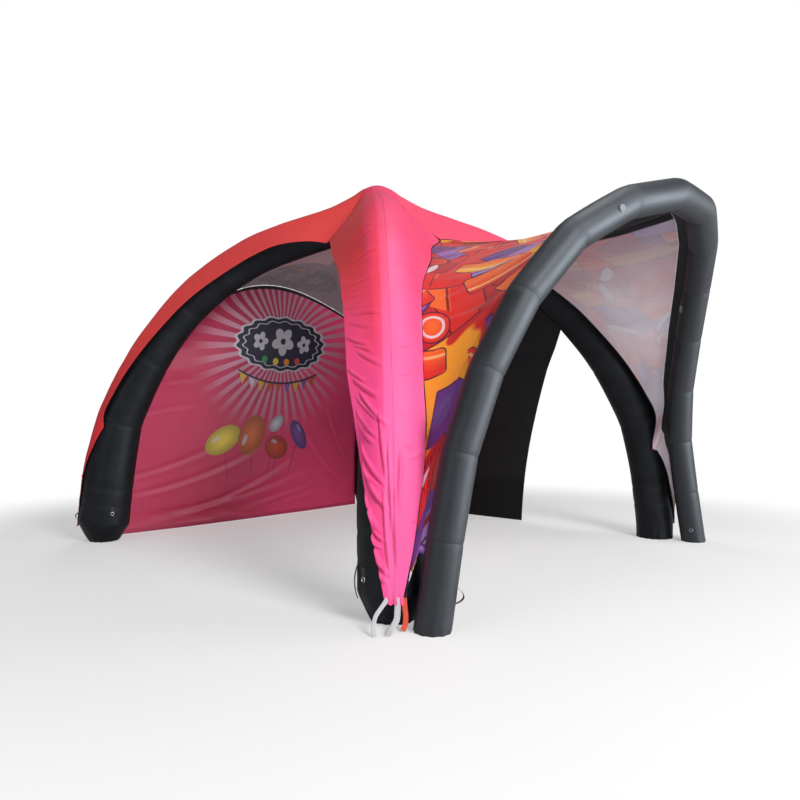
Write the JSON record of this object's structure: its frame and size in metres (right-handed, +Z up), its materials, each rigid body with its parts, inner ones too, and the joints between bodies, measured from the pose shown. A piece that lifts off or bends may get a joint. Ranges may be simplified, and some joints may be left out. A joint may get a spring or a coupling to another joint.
{
  "type": "inflatable dome tent with awning",
  "caption": "Inflatable dome tent: air-filled legs that cross at a crown, a fitted cover, side walls, roof panels and an awning held out by an air-filled arch.",
  "frame": {"origin": "the middle of the ground rectangle under the whole tent", "axes": "+Z up; -Y towards the front leg; +X towards the right leg; the awning reaches out between them"},
  "size_m": [6.8076, 6.5542, 3.8984],
  "materials": {
    "tube": "dark coated tube cloth, taut, with a soft satin sheen",
    "cover": "printed polyester, vivid pink with red and orange panels, matt satin",
    "wall": null,
    "roof": null,
    "dark_cloth": "black polyester, matt",
    "awning": null,
    "webbing": "white and grey woven strap",
    "ribbon": "orange-red satin ribbon",
    "metal": "plated steel wire",
    "plastic": "black moulded plastic"
  },
  "bodies": {
    "root": {"leg_front": "tube", "leg_right": "tube", "leg_back": "tube", "leg_left": "tube", "cover_front_right": "cover", "cover_right_front": "cover", "cover_right_back": "roof", "cover_back_right": "cover", "cover_back_left": "cover", "cover_left_back": "cover", "cover_left_front": "cover", "cover_front_left": "cover", "wall_left": "wall", "wall_right": "dark_cloth", "wall_band_left": "dark_cloth", "wall_band_right": "dark_cloth", "roof_left": "roof", "roof_right": "roof", "arch_tube": "tube", "awning_panel": "awning", "awning_band": "dark_cloth", "ring_left_foot": "metal", "ring_tab_left_foot": "webbing", "ring_front_foot": "metal", "ring_tab_front_foot": "webbing", "ring_arch_foot": "metal", "ring_tab_arch_foot": "webbing", "front_foot_handle": "webbing", "left_foot_loop": "webbing", "arch_foot_loop": "webbing", "arch_valve": "plastic", "arch_buckle": "plastic", "arch_buckle_tab": "ribbon", "tie_strap_long": "webbing", "tie_strap_short": "webbing", "pull_ribbon": "ribbon"}
  },
  "joints": []
}
